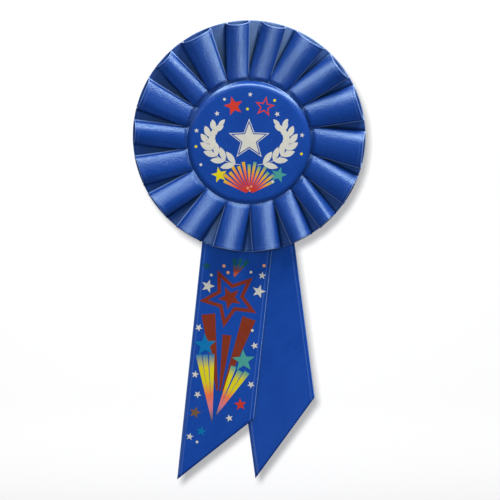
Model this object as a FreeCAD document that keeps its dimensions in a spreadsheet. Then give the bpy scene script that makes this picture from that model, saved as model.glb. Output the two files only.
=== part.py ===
import FreeCAD, Part
import math
import os

import Sketcher
from FreeCAD import Placement, Rotation, Vector

# Award ribbon: a pleated satin rosette with a covered button, two tails and a bar pin.
#
# Millimetres, +Z up. The front faces -Y. The origin is the centre of the backing card's
# rear face, which is the face that lies towards the wearer. "Forward" is a distance
# from that face towards the front, so forward 2 is y = -2.

SIZES = [
    # alias, millimetres or degrees, what it is
    ("rosette_radius", 41.0, "centre to the outer edge of the pleats"),
    ("pleat_count", 18, "knife pleats round the rosette"),
    ("pleat_layers", 1.3, "flattened ribbon layers under the raised folds"),
    ("pleat_root_radius", 17.0, "inner edge of the pleated ribbon"),
    ("pleat_root_width", 5.2, "raised fold, width at the inner edge"),
    ("pleat_root_height", 2.2, "raised fold, height at the inner edge"),
    ("pleat_press_radius", 23.8, "where the button stops pressing the folds down"),
    ("pleat_press_width", 7.4, "raised fold, width there"),
    ("pleat_press_height", 2.5, "raised fold, height there"),
    ("pleat_crown_radius", 31.0, "where the folds have risen"),
    ("pleat_crown_width", 9.2, "raised fold, width there"),
    ("pleat_crown_height", 5.6, "raised fold, height there"),
    ("pleat_rim_radius", 40.7, "end of the raised folds"),
    ("pleat_rim_width", 9.8, "raised fold, width at the rim"),
    ("pleat_rim_height", 6.0, "raised fold, height at the rim"),
    ("thread_ring_radius", 18.3, "gathering thread, radius of its round"),
    ("thread_radius", 0.25, "gathering thread"),
    ("card_radius", 28.0, "backing card"),
    ("card_thickness", 1.0, "backing card"),
    ("ring_card_radius", 29.0, "card that the pleats are stapled to"),
    ("ring_card_thickness", 0.8, "card that the pleats are stapled to"),
    ("ribbon_thickness", 0.3, "satin ribbon of the tails"),
    ("tail_width", 25.0, "both tails"),
    ("tail_top", 15.0, "upper ends of the tails, above the centre"),
    ("tail_bend", 43.0, "centre to the line where each tail starts to swing"),
    ("tail_slit", 0.4, "gap at that line"),
    ("front_tail_tilt", 6.1, "front tail, lean to the left"),
    ("front_tail_length", 126.0, "front tail, centre to its long corner"),
    ("front_tail_cut", 45.0, "front tail, angle of its end cut"),
    ("front_tail_shift", 0.1, "front tail, moved to the left of the centre"),
    ("rear_tail_tilt", 7.5, "rear tail, lean to the right"),
    ("rear_tail_length", 123.5, "rear tail, centre to its long corner"),
    ("rear_tail_cut", 47.0, "rear tail, angle of its end cut"),
    ("rear_tail_shift", 1.5, "rear tail, moved to the left of the centre"),
    ("button_radius", 21.7, "covered button"),
    ("button_depth", 5.0, "covered button, front to back"),
    ("button_forward", 5.0, "rear face of the button"),
    ("button_drop", 1.6, "button centre below the rosette centre"),
    ("button_rim_round", 2.0, "rounding of the shell's front edge"),
    ("cover_thickness", 0.3, "satin over the button"),
    ("shell_wall", 0.5, "button shell"),
    ("plate_thickness", 0.6, "button back plate"),
    ("plate_clearance", 0.05, "back plate inside the shell"),
    ("prong_spacing", 30.0, "between the two prongs"),
    ("prong_width", 2.8, "prong"),
    ("prong_thickness", 0.4, "prong"),
    ("prong_foot", 4.0, "bent foot of a prong"),
    ("prong_slot_clearance", 0.1, "slot round a prong, each side"),
    ("staple_wire_radius", 0.25, "staple wire"),
    ("tail_staple_crown", 10.0, "tail staple, length of its crown"),
    ("tail_staple_high", 5.0, "upper tail staple, above the centre"),
    ("tail_staple_low", 7.0, "lower tail staple, below the centre"),
    ("tail_staple_foot", 3.5, "tail staple, clinched leg"),
    ("ring_staple_crown", 5.0, "ring staple, length of its crown"),
    ("ring_staple_radius", 19.5, "ring staple, from the centre"),
    ("ring_staple_angle", 20.0, "ring staple, above and below the side"),
    ("ring_staple_foot", 1.8, "ring staple, clinched leg"),
    ("pin_height", 14.0, "bar pin above the centre"),
    ("tape_length", 29.0, "foam tape"),
    ("tape_width", 4.6, "foam tape"),
    ("tape_thickness", 0.8, "foam tape"),
    ("bar_length", 32.0, "bar of the pin"),
    ("bar_width", 5.0, "bar of the pin"),
    ("bar_thickness", 0.8, "bar of the pin"),
    ("bar_corner", 1.6, "bar, rounded corners"),
    ("needle_behind", 4.2, "needle axis behind the backing card"),
    ("hinge_offset", 13.0, "rivet, left of the centre"),
    ("ear_width", 2.8, "hinge ear"),
    ("ear_corner", 1.35, "hinge ear, rounding of its end"),
    ("ear_thickness", 0.6, "hinge ear"),
    ("ear_gap", 1.5, "between the two hinge ears"),
    ("ear_over", 1.4, "hinge ear beyond the rivet's axis"),
    ("rivet_radius", 0.6, "rivet shank"),
    ("rivet_head_radius", 1.1, "rivet head"),
    ("rivet_head_height", 0.45, "rivet head"),
    ("eye_radius", 1.4, "needle's eye, outside"),
    ("eye_clearance", 0.05, "needle's eye round the rivet"),
    ("eye_thickness", 1.2, "needle's eye"),
    ("needle_radius", 0.4, "needle shank"),
    ("needle_length", 28.6, "rivet axis to the needle's tip"),
    ("needle_point", 6.4, "long taper to the needle's point, from just before the catch"),
    ("catch_offset", 12.4, "catch, right of the centre"),
    ("catch_radius", 2.2, "catch housing, outside"),
    ("catch_bore", 1.6, "catch housing, inside"),
    ("catch_length", 2.6, "catch housing"),
    ("catch_foot_width", 3.4, "foot of the catch housing"),
    ("catch_slot", 1.4, "slot that the needle enters through"),
    ("lock_clearance", 0.05, "lock inside the housing"),
    ("lock_bore", 0.75, "lock, round the needle"),
    ("lock_collar", 0.9, "lock, length of each collar beside the housing"),
    ("lock_collar_radius", 2.0, "lock, collar"),
    ("lock_side_gap", 0.05, "lock collar to the housing's end"),
    ("lock_overlap", 0.1, "lock sleeve, length inside its two collars together"),
    ("thumb_tab_reach", 3.4, "thumb tab, from the lock's axis"),
    ("thumb_tab_width", 1.8, "thumb tab"),
    ("thumb_tab_root", 1.05, "thumb tab's inner end, from the lock's axis"),
    ("cut_margin", 1.0, "how far a cut runs past what it cuts"),
]

# How far forward each layer's front face lies.
CARD_FRONT = "Sizes.card_thickness"
REAR_TAIL_FRONT = CARD_FRONT + " + Sizes.ribbon_thickness"
FRONT_TAIL_FRONT = REAR_TAIL_FRONT + " + Sizes.ribbon_thickness"
RING_CARD_FRONT = FRONT_TAIL_FRONT + " + Sizes.ring_card_thickness"
SHELL_RADIUS = "Sizes.button_radius - Sizes.cover_thickness"
LOCK_RADIUS = "Sizes.catch_bore - Sizes.lock_clearance"

SAME = 0.01  # lengths that differ by less are equal, in millimetres
FIRST_CORNER = 0.3  # radians: no side of a new outline starts out along an axis


def make_sizes(doc):
    """Write the driving dimensions to the spreadsheet, one aliased cell each."""
    sheet = doc.addObject("Spreadsheet::Sheet", "Sizes")
    for row, (alias, value, note) in enumerate(SIZES, start=1):
        sheet.set(f"A{row}", note)
        sheet.set(f"B{row}", str(value))
        sheet.setAlias(f"B{row}", alias)
    doc.recompute()
    return sheet


# ---------------------------------------------------------------- document helpers


def new_body(doc, name, forward=None, sideways=None, up=None):
    """A body with its own label, placed by formulas."""
    body = doc.addObject("PartDesign::Body", name)
    body.Label = name
    if forward:
        body.setExpression("Placement.Base.y", f"-({forward})")
    if sideways:
        body.setExpression("Placement.Base.x", sideways)
    if up:
        body.setExpression("Placement.Base.z", up)
    return body


def origin_feature(body, role):
    """The body's own origin plane or axis of that role."""
    return next(f for f in body.Origin.OriginFeatures if f.Role == role)


def new_sketch(body, role, offset=None):
    """A sketch on one of the body's origin planes, moved along the plane's normal."""
    sketch = body.newObject("Sketcher::SketchObject", f"{body.Name}_sketch")
    sketch.AttachmentSupport = [(origin_feature(body, role), "")]
    sketch.MapMode = "FlatFace"
    if offset:
        sketch.setExpression("AttachmentOffset.Base.z", offset)
    return sketch


def hold(sketch, constraint, formula):
    """Add a constraint whose value follows a formula."""
    index = sketch.addConstraint(constraint)
    sketch.setExpression(f"Constraints[{index}]", formula)


def place(sketch, geometry, point, across, up):
    """Hold one point of a sketch's geometry at two formulas."""
    now = sketch.getPoint(geometry, point)
    hold(sketch, Sketcher.Constraint("DistanceX", -1, 1, geometry, point, now.x), across)
    hold(sketch, Sketcher.Constraint("DistanceY", -1, 1, geometry, point, now.y), up)


def circle(sketch, radius, across="0", up="0"):
    index = sketch.addGeometry(Part.Circle(Vector(1, 1, 0), Vector(0, 0, 1), 1.0), False)
    hold(sketch, Sketcher.Constraint("Radius", index, 1.0), radius)
    place(sketch, index, 3, across, up)


def polygon(sketch, corners):
    """A closed outline whose corners are pairs of formulas, in turn."""
    first = sketch.GeometryCount
    count = len(corners)
    steps = [FIRST_CORNER + 2 * math.pi * i / count for i in range(count)]
    start = [Vector(math.cos(a), math.sin(a), 0) for a in steps]
    for i in range(count):
        sketch.addGeometry(Part.LineSegment(start[i], start[(i + 1) % count]), False)
    for i in range(count):
        follower = first + (i + 1) % count
        sketch.addConstraint(Sketcher.Constraint("Coincident", first + i, 2, follower, 1))
    for i, (across, up) in enumerate(corners):
        place(sketch, first + i, 1, across, up)


def rectangle(sketch, left, right, low, high):
    polygon(sketch, [(left, low), (right, low), (right, high), (left, high)])


def pad(body, sketch, length, centred=False):
    feature = body.newObject("PartDesign::Pad", f"{body.Name}_pad")
    feature.Profile = sketch
    feature.setExpression("Length", length)
    feature.Midplane = centred
    return feature


def through_cut(body, sketch):
    """Cut the sketch out of the whole body, both ways from its plane."""
    feature = body.newObject("PartDesign::Pocket", f"{body.Name}_cut")
    feature.Profile = sketch
    feature.Type = "ThroughAll"
    feature.Midplane = True
    return feature


def revolve(body, sketch, axis):
    feature = body.newObject("PartDesign::Revolution", f"{body.Name}_turn")
    feature.Profile = sketch
    feature.ReferenceAxis = (sketch, [axis])
    feature.Angle = 360
    return feature


def round_edges(body, feature, radius, wanted):
    """Round the edges of a feature that a test picks."""
    body.Document.recompute()
    names = [f"Edge{i}" for i, edge in enumerate(feature.Shape.Edges, 1) if wanted(edge)]
    rounded = body.newObject("PartDesign::Fillet", f"{body.Name}_round")
    rounded.Base = (feature, names)
    rounded.setExpression("Radius", radius)
    return rounded


def disc(doc, name, radius, thickness, forward=None, up=None):
    body = new_body(doc, name, forward=forward, up=up)
    sketch = new_sketch(body, "XZ_Plane")
    circle(sketch, radius)
    pad(body, sketch, thickness)
    return body


# ---------------------------------------------------------------- rosette


def make_backing_card(doc):
    return disc(doc, "backing_card", "Sizes.card_radius", "Sizes.card_thickness")


def make_ring_card(doc):
    """Round card with one slot for each prong of the button."""
    body = disc(
        doc, "ring_card", "Sizes.ring_card_radius", "Sizes.ring_card_thickness", FRONT_TAIL_FRONT
    )
    sketch = new_sketch(body, "XZ_Plane")
    low = "-Sizes.button_drop - Sizes.prong_width / 2 - Sizes.prong_slot_clearance"
    high = "-Sizes.button_drop + Sizes.prong_width / 2 + Sizes.prong_slot_clearance"
    near = "Sizes.prong_spacing / 2 - Sizes.prong_slot_clearance"
    far = "Sizes.prong_spacing / 2 + Sizes.prong_thickness + Sizes.prong_slot_clearance"
    rectangle(sketch, near, far, low, high)
    rectangle(sketch, f"-({far})", f"-({near})", low, high)
    through_cut(body, sketch)
    return body


def fold_section(body, sheet, place_name):
    """Cross-section of a raised fold: an arch on a flat base, at one radius."""
    width = f"Sizes.pleat_{place_name}_width"
    rise = f"(Sizes.pleat_{place_name}_height - Sizes.pleat_layers / 2)"
    half = sheet.get(f"pleat_{place_name}_width") / 2
    base = -sheet.get("pleat_layers") / 2
    crest = -sheet.get(f"pleat_{place_name}_height")
    sketch = new_sketch(body, "XY_Plane", f"-Sizes.pleat_{place_name}_radius")
    left, top, right = Vector(-half, base, 0), Vector(0, crest, 0), Vector(half, base, 0)
    sketch.addGeometry(Part.LineSegment(left, right), False)
    sketch.addGeometry(Part.Arc(left, top, right), False)
    sketch.addConstraint(Sketcher.Constraint("Coincident", 0, 1, 1, 1))
    sketch.addConstraint(Sketcher.Constraint("Coincident", 0, 2, 1, 2))
    place(sketch, 0, 1, f"-{width} / 2", "-Sizes.pleat_layers / 2")
    place(sketch, 0, 2, f"{width} / 2", "-Sizes.pleat_layers / 2")
    arch_radius = f"({width} * {width} / 4 + {rise} * {rise}) / (2 * {rise})"
    hold(sketch, Sketcher.Constraint("Radius", 1, sketch.Geometry[1].Radius), arch_radius)
    return sketch


def make_pleated_ribbon(doc, sheet):
    """A flat ring of folded layers with one raised fold for each pleat."""
    body = new_body(doc, "pleated_ribbon", forward=RING_CARD_FRONT)
    sketch = new_sketch(body, "XZ_Plane")
    circle(sketch, "Sizes.rosette_radius")
    circle(sketch, "Sizes.pleat_root_radius")
    pad(body, sketch, "Sizes.pleat_layers")
    sections = [fold_section(body, sheet, name) for name in ("root", "press", "crown", "rim")]
    fold = body.newObject("PartDesign::AdditiveLoft", "raised_fold")
    fold.Profile = sections[0]
    fold.Sections = sections[1:]
    fold.Ruled = True
    folds = body.newObject("PartDesign::PolarPattern", "raised_folds")
    folds.Originals = [fold]
    folds.Axis = (origin_feature(body, "Y_Axis"), [""])
    folds.Angle = 360
    folds.setExpression("Occurrences", "Sizes.pleat_count")
    body.Tip = folds
    return body


def make_pleat_thread(doc):
    """The gathering thread, drawn tight round the inner edge of the pleats."""
    thread = doc.addObject("Part::Torus", "pleat_thread")
    thread.Label = "pleat_thread"
    thread.setExpression("Radius1", "Sizes.thread_ring_radius")
    thread.setExpression("Radius2", "Sizes.thread_radius")
    thread.Placement = Placement(Vector(), Rotation(Vector(1, 0, 0), 90))
    thread.setExpression("Placement.Base.y", f"-({RING_CARD_FRONT} + Sizes.pleat_layers)")
    return thread


def bent_wire(points, radius):
    """A round wire through the points, with a ball at each bend and end."""
    pieces = [Part.makeSphere(radius, point) for point in points]
    for start, end in zip(points, points[1:]):
        run = end - start
        pieces.append(Part.makeCylinder(radius, run.Length, start, run))
    return pieces[0].multiFuse(pieces[1:]).removeSplitter()


def staple(crown, front, rear, foot, radius):
    """A staple with its crown along X at y = front and its feet clinched at y = rear."""
    half = crown / 2
    points = [
        Vector(foot - half, rear, 0),
        Vector(-half, rear, 0),
        Vector(-half, front, 0),
        Vector(half, front, 0),
        Vector(half, rear, 0),
        Vector(half - foot, rear, 0),
    ]
    return bent_wire(points, radius)


def make_tail_staples(doc, sheet):
    """Two staples through the ring card, both tails and the backing card."""
    wire = sheet.get("staple_wire_radius")
    layers = sheet.get("card_thickness") + 2 * sheet.get("ribbon_thickness")
    front = -(layers + sheet.get("ring_card_thickness") + wire)
    shapes = []
    for height in (sheet.get("tail_staple_high"), -sheet.get("tail_staple_low")):
        one = staple(
            sheet.get("tail_staple_crown"), front, wire, sheet.get("tail_staple_foot"), wire
        )
        one.translate(Vector(0, 0, height))
        shapes.append(one)
    return shape_object(doc, "tail_staples", shapes)


def make_ring_staples(doc, sheet):
    """Four staples through the pleats' inner edge and the ring card."""
    wire = sheet.get("staple_wire_radius")
    layers = sheet.get("card_thickness") + 2 * sheet.get("ribbon_thickness")
    rear = -(layers - wire)
    front = -(layers + sheet.get("ring_card_thickness") + sheet.get("pleat_root_height"))
    lean = sheet.get("ring_staple_angle")
    shapes = []
    for angle in (lean, -lean, 180 + lean, 180 - lean):
        one = staple(
            sheet.get("ring_staple_crown"), front, rear, sheet.get("ring_staple_foot"), wire
        )
        one.rotate(Vector(), Vector(0, 1, 0), 90)
        one.translate(Vector(sheet.get("ring_staple_radius"), 0, 0))
        one.rotate(Vector(), Vector(0, 1, 0), angle)
        shapes.append(one)
    return shape_object(doc, "ring_staples", shapes)


def shape_object(doc, name, shapes):
    """A plain feature that holds several separate solids."""
    feature = doc.addObject("Part::Feature", name)
    feature.Label = name
    feature.Shape = Part.makeCompound(shapes)
    feature.Placement = Placement()
    return feature


# ---------------------------------------------------------------- tails


def make_tail_piece(doc, name, side, forward, corners):
    """A flat length of ribbon, leaning about Y from the rosette's centre."""
    body = new_body(doc, name, forward=forward, sideways=f"-Sizes.{side}_tail_shift")
    turn = 1 if side == "front" else -1
    body.Placement = Placement(Vector(), Rotation(Vector(0, turn, 0), 1))
    body.setExpression("Placement.Rotation.Angle", f"Sizes.{side}_tail_tilt * 1 deg")
    sketch = new_sketch(body, "XZ_Plane")
    polygon(sketch, corners)
    pad(body, sketch, "Sizes.ribbon_thickness")
    return body


def make_tail(doc, side, forward):
    """One tail: the part fixed between the cards, and the part that swings."""
    left, right = "-Sizes.tail_width / 2", "Sizes.tail_width / 2"
    upper = "-(Sizes.tail_bend - Sizes.tail_slit / 2)"
    lower = "-(Sizes.tail_bend + Sizes.tail_slit / 2)"
    long_side = f"-Sizes.{side}_tail_length"
    short_side = f"{long_side} + Sizes.tail_width * tan(Sizes.{side}_tail_cut * 1 deg)"
    top = make_tail_piece(
        doc,
        f"{side}_tail_top",
        side,
        forward,
        [(left, "Sizes.tail_top"), (right, "Sizes.tail_top"), (right, upper), (left, upper)],
    )
    free = make_tail_piece(
        doc,
        f"{side}_tail",
        side,
        forward,
        [(left, lower), (right, lower), (right, short_side), (left, long_side)],
    )
    return [top, free]


# ---------------------------------------------------------------- button


def is_front_rim(depth):
    """A test for circular edges at the front of a turned cup."""

    def test(edge):
        flat = abs(edge.BoundBox.YMin + depth) < SAME and edge.BoundBox.YLength < SAME
        return flat and isinstance(edge.Curve, Part.Circle)

    return test


def make_cup(doc, sheet, name, radius, depth, wall_alias, rounding):
    """A round cup, open at the rear, with a rounded front edge inside and out."""
    body = new_body(doc, name, forward="Sizes.button_forward", up="-Sizes.button_drop")
    wall = f"Sizes.{wall_alias}"
    inner = f"({radius}) - {wall}"
    floor = f"-({depth}) + {wall}"
    sketch = new_sketch(body, "XY_Plane")
    polygon(
        sketch,
        [
            ("0", f"-({depth})"),
            (radius, f"-({depth})"),
            (radius, "0"),
            (inner, "0"),
            (inner, floor),
            ("0", floor),
        ],
    )
    cup = revolve(body, sketch, "V_Axis")
    doc.recompute()
    outside = -cup.Shape.BoundBox.YMin
    rounded = round_edges(body, cup, rounding, is_front_rim(outside))
    inside = outside - sheet.get(wall_alias)
    round_edges(body, rounded, f"({rounding}) - {wall}", is_front_rim(inside))
    return body


def make_button(doc, sheet):
    shell_depth = "Sizes.button_depth - Sizes.cover_thickness"
    cover = make_cup(
        doc,
        sheet,
        "button_cover",
        "Sizes.button_radius",
        "Sizes.button_depth",
        "cover_thickness",
        "Sizes.button_rim_round + Sizes.cover_thickness",
    )
    shell = make_cup(
        doc,
        sheet,
        "button_shell",
        SHELL_RADIUS,
        shell_depth,
        "shell_wall",
        "Sizes.button_rim_round",
    )
    plate = disc(
        doc,
        "button_back_plate",
        f"{SHELL_RADIUS} - Sizes.shell_wall - Sizes.plate_clearance",
        "Sizes.plate_thickness",
        "Sizes.button_forward",
        "-Sizes.button_drop",
    )
    return [cover, shell, plate, make_prongs(doc)]


def make_prongs(doc):
    """Two strips from the back plate, bent outwards behind the ring card."""
    body = new_body(doc, "button_prongs", up="-Sizes.button_drop")
    body.AllowCompound = True
    near = "Sizes.prong_spacing / 2"
    far = f"{near} + Sizes.prong_thickness"
    toe = f"{near} + Sizes.prong_foot"
    plate = "-Sizes.button_forward"
    bend = f"-({FRONT_TAIL_FRONT})"
    sole = f"{bend} + Sizes.prong_thickness"
    for side in ("", "-"):
        sketch = new_sketch(body, "XY_Plane")
        polygon(
            sketch,
            [
                (f"{side}({near})", plate),
                (f"{side}({far})", plate),
                (f"{side}({far})", bend),
                (f"{side}({toe})", bend),
                (f"{side}({toe})", sole),
                (f"{side}({near})", sole),
            ],
        )
        pad(body, sketch, "Sizes.prong_width", centred=True)
    return body


# ---------------------------------------------------------------- bar pin


def make_pin_tape(doc):
    body = new_body(doc, "pin_tape", forward="-Sizes.tape_thickness", up="Sizes.pin_height")
    sketch = new_sketch(body, "XZ_Plane")
    rectangle(
        sketch,
        "-Sizes.tape_length / 2",
        "Sizes.tape_length / 2",
        "-Sizes.tape_width / 2",
        "Sizes.tape_width / 2",
    )
    pad(body, sketch, "Sizes.tape_thickness")
    return body


def make_pin_base(doc, sheet):
    """The bar, with two ears that hold the rivet. The body's own XY plane is its middle."""
    body = new_body(doc, "pin_base", up="Sizes.pin_height")
    bar_rear = "Sizes.tape_thickness + Sizes.bar_thickness"
    outline = new_sketch(body, "XZ_Plane", f"-({bar_rear})")
    rectangle(
        outline,
        "-Sizes.bar_length / 2",
        "Sizes.bar_length / 2",
        "-Sizes.bar_width / 2",
        "Sizes.bar_width / 2",
    )
    bar = pad(body, outline, "Sizes.bar_thickness")
    round_edges(body, bar, "Sizes.bar_corner", is_along_y)
    ear_end = "Sizes.needle_behind + Sizes.ear_over"
    ear_left = "-Sizes.hinge_offset - Sizes.ear_width / 2"
    ear_right = "-Sizes.hinge_offset + Sizes.ear_width / 2"
    ears = new_sketch(body, "XY_Plane")
    rectangle(ears, ear_left, ear_right, f"{bar_rear} - Sizes.bar_thickness / 2", ear_end)
    block = pad(body, ears, "Sizes.ear_gap + 2 * Sizes.ear_thickness", centred=True)
    round_edges(body, block, "Sizes.ear_corner", is_ear_corner(sheet.get("needle_behind")))
    slot = new_sketch(body, "XZ_Plane", f"-({ear_end})")
    gap = "Sizes.ear_gap / 2"
    margin = "Sizes.cut_margin"
    rectangle(slot, f"{ear_left} - {margin}", f"{ear_right} + {margin}", f"-{gap}", gap)
    cut = body.newObject("PartDesign::Pocket", "ear_slot")
    cut.Profile = slot
    cut.setExpression("Length", f"{ear_end} - ({bar_rear})")
    cut.Reversed = True
    hole = new_sketch(body, "XY_Plane")
    circle(hole, "Sizes.rivet_radius", "-Sizes.hinge_offset", "Sizes.needle_behind")
    through_cut(body, hole)
    return body


def is_along_y(edge):
    box = edge.BoundBox
    return box.YLength > SAME and box.XLength < SAME and box.ZLength < SAME


def is_ear_corner(behind):
    """A test for the two edges along Z at the end of the ear block, past the rivet's axis."""

    def test(edge):
        box = edge.BoundBox
        along_z = box.ZLength > SAME and box.XLength < SAME and box.YLength < SAME
        return along_z and box.YMin > behind

    return test


def make_rivet(doc):
    body = new_body(
        doc,
        "hinge_rivet",
        forward="-Sizes.needle_behind",
        sideways="-Sizes.hinge_offset",
        up="Sizes.pin_height",
    )
    sketch = new_sketch(body, "XZ_Plane")
    shank = "Sizes.rivet_radius"
    head = "Sizes.rivet_head_radius"
    inside = "(Sizes.ear_gap / 2 + Sizes.ear_thickness)"
    outside = f"({inside} + Sizes.rivet_head_height)"
    polygon(
        sketch,
        [
            ("0", f"-{outside}"),
            (head, f"-{outside}"),
            (head, f"-{inside}"),
            (shank, f"-{inside}"),
            (shank, inside),
            (head, inside),
            (head, outside),
            ("0", outside),
        ],
    )
    revolve(body, sketch, "V_Axis")
    return body


def make_needle(doc):
    """An eye round the rivet and a pointed shank along +X, from the rivet's axis."""
    body = new_body(
        doc,
        "pin_needle",
        forward="-Sizes.needle_behind",
        sideways="-Sizes.hinge_offset",
        up="Sizes.pin_height",
    )
    eye = new_sketch(body, "XY_Plane")
    circle(eye, "Sizes.eye_radius")
    circle(eye, "Sizes.rivet_radius + Sizes.eye_clearance")
    pad(body, eye, "Sizes.eye_thickness", centred=True)
    shank = new_sketch(body, "XY_Plane")
    start = "(Sizes.eye_radius + Sizes.rivet_radius) / 2"
    polygon(
        shank,
        [
            (start, "0"),
            ("Sizes.needle_length", "0"),
            ("Sizes.needle_length - Sizes.needle_point", "Sizes.needle_radius"),
            (start, "Sizes.needle_radius"),
        ],
    )
    revolve(body, shank, "H_Axis")
    return body


def make_catch_housing(doc):
    """A slotted ring on a foot, round the needle's free end."""
    body = new_body(
        doc,
        "catch_housing",
        forward="-Sizes.needle_behind",
        sideways="Sizes.catch_offset",
        up="Sizes.pin_height",
    )
    length = "Sizes.catch_length"
    ring = new_sketch(body, "YZ_Plane")
    circle(ring, "Sizes.catch_radius")
    pad(body, ring, length, centred=True)
    foot = new_sketch(body, "YZ_Plane")
    bar_rear = "Sizes.tape_thickness + Sizes.bar_thickness - Sizes.needle_behind"
    rectangle(foot, bar_rear, "0", "-Sizes.catch_foot_width / 2", "Sizes.catch_foot_width / 2")
    pad(body, foot, length, centred=True)
    bore = new_sketch(body, "YZ_Plane")
    circle(bore, "Sizes.catch_bore")
    through_cut(body, bore)
    cut_needle_slot(body)
    return body


def cut_needle_slot(body):
    """Open the ring towards +Y, the way the needle swings out."""
    slot = new_sketch(body, "YZ_Plane")
    half = "Sizes.catch_slot / 2"
    rectangle(slot, "0", "Sizes.thumb_tab_reach + Sizes.cut_margin", f"-{half}", half)
    through_cut(body, slot)


def make_catch_lock(doc):
    """A slotted sleeve that turns inside the housing, with a collar at each end."""
    body = new_body(
        doc,
        "catch_lock",
        forward="-Sizes.needle_behind",
        sideways="Sizes.catch_offset",
        up="Sizes.pin_height",
    )
    sleeve = new_sketch(body, "YZ_Plane")
    circle(sleeve, LOCK_RADIUS)
    inner = "Sizes.catch_length / 2 + Sizes.lock_side_gap"
    pad(body, sleeve, f"2 * ({inner}) + Sizes.lock_overlap", centred=True)
    for start in (inner, f"-({inner}) - Sizes.lock_collar"):
        collar = new_sketch(body, "YZ_Plane", start)
        circle(collar, "Sizes.lock_collar_radius")
        pad(body, collar, "Sizes.lock_collar")
    tab = new_sketch(body, "YZ_Plane", inner)
    half = "Sizes.thumb_tab_width / 2"
    rectangle(tab, f"-{half}", half, "-Sizes.thumb_tab_reach", "-Sizes.thumb_tab_root")
    pad(body, tab, "Sizes.lock_collar")
    bore = new_sketch(body, "YZ_Plane")
    circle(bore, "Sizes.lock_bore")
    through_cut(body, bore)
    cut_needle_slot(body)
    return body


# ---------------------------------------------------------------- whole ribbon


def make_all(doc, sheet):
    parts = [
        make_backing_card(doc),
        make_ring_card(doc),
        make_pleated_ribbon(doc, sheet),
        make_pleat_thread(doc),
        make_ring_staples(doc, sheet),
        make_tail_staples(doc, sheet),
    ]
    parts += make_tail(doc, "rear", CARD_FRONT)
    parts += make_tail(doc, "front", REAR_TAIL_FRONT)
    parts += make_button(doc, sheet)
    parts += [
        make_pin_tape(doc),
        make_pin_base(doc, sheet),
        make_rivet(doc),
        make_needle(doc),
        make_catch_housing(doc),
        make_catch_lock(doc),
    ]
    return parts


def check(doc, parts):
    """Stop if any object failed, or a sub-part has no valid solid."""
    for item in doc.Objects:
        if {"Invalid", "Error"} & set(item.State):
            raise RuntimeError(f"{item.Name} failed: {item.State}")
    for part in parts:
        shape = part.Shape
        if shape.isNull() or not shape.isValid() or not shape.Solids:
            raise RuntimeError(f"{part.Label} has no valid solid")


def main():
    os.makedirs("parts", exist_ok=True)
    doc = FreeCAD.newDocument("award_ribbon")
    sheet = make_sizes(doc)
    parts = make_all(doc, sheet)
    doc.recompute()
    check(doc, parts)
    for part in parts:
        part.Shape.exportStep(f"parts/{part.Label}.step")
        box = part.Shape.BoundBox
        print(
            f"{part.Label:18s} {len(part.Shape.Solids)} solid, {part.Shape.Volume:9.2f} mm3,"
            f" x {box.XMin:.2f}..{box.XMax:.2f}, y {box.YMin:.2f}..{box.YMax:.2f},"
            f" z {box.ZMin:.2f}..{box.ZMax:.2f}"
        )


main()
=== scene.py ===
import math
import random

import bmesh
import bpy
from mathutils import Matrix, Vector


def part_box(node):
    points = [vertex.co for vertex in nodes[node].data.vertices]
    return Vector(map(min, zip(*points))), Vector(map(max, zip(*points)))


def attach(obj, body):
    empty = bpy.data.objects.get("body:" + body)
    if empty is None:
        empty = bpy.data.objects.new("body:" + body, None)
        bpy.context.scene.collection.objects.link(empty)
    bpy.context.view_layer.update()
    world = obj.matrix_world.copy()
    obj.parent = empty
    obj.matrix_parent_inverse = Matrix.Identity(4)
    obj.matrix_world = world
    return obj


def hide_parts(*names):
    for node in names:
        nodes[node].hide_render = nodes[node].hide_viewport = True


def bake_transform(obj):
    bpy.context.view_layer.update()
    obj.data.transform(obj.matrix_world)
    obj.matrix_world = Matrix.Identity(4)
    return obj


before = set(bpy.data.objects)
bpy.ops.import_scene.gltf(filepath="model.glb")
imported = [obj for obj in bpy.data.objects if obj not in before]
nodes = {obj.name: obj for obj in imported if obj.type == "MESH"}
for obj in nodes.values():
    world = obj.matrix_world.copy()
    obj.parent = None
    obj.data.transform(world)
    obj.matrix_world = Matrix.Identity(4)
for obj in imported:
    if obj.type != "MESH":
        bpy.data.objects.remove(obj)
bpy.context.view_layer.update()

# Looks of a pleated satin award ribbon. The ribbon's own sizes below are in millimetres and are
# multiplied by MM; the camera's distance, the lights and the room are in metres. The front faces
# -Y, so "forward" is -Y.

MM = 0.001


def extent(node, axis):
    """(low, high) of a CAD node along one axis, in millimetres."""
    low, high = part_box(node)
    return low[axis] / MM, high[axis] / MM


# ---------------------------------------------------------------- camera

CAMERA_TARGET = Vector((0.3, -1.5, -40.6)) * MM
CAMERA_DISTANCE = 0.986  # metres
CAMERA_ELEVATION = 9.0  # degrees above level
CAMERA_LENS = 200.0


def make_camera():
    """A long lens in front of the ribbon and slightly above it."""
    data = bpy.data.cameras.new("camera")
    data.lens = CAMERA_LENS
    camera = bpy.data.objects.new("camera", data)
    bpy.context.scene.collection.objects.link(camera)
    lift = math.radians(CAMERA_ELEVATION)
    towards = Vector((0, -math.cos(lift), math.sin(lift)))
    camera.location = CAMERA_TARGET + towards * CAMERA_DISTANCE
    camera.rotation_euler = (-towards).to_track_quat("-Z", "Y").to_euler()
    bpy.context.scene.camera = camera


# ---------------------------------------------------------------- materials


def linear(red, green, blue):
    """An sRGB colour, 0 to 255, as linear values with alpha."""

    def channel(value):
        value /= 255
        return value / 12.92 if value <= 0.04045 else ((value + 0.055) / 1.055) ** 2.4

    return channel(red), channel(green), channel(blue), 1.0


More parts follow.
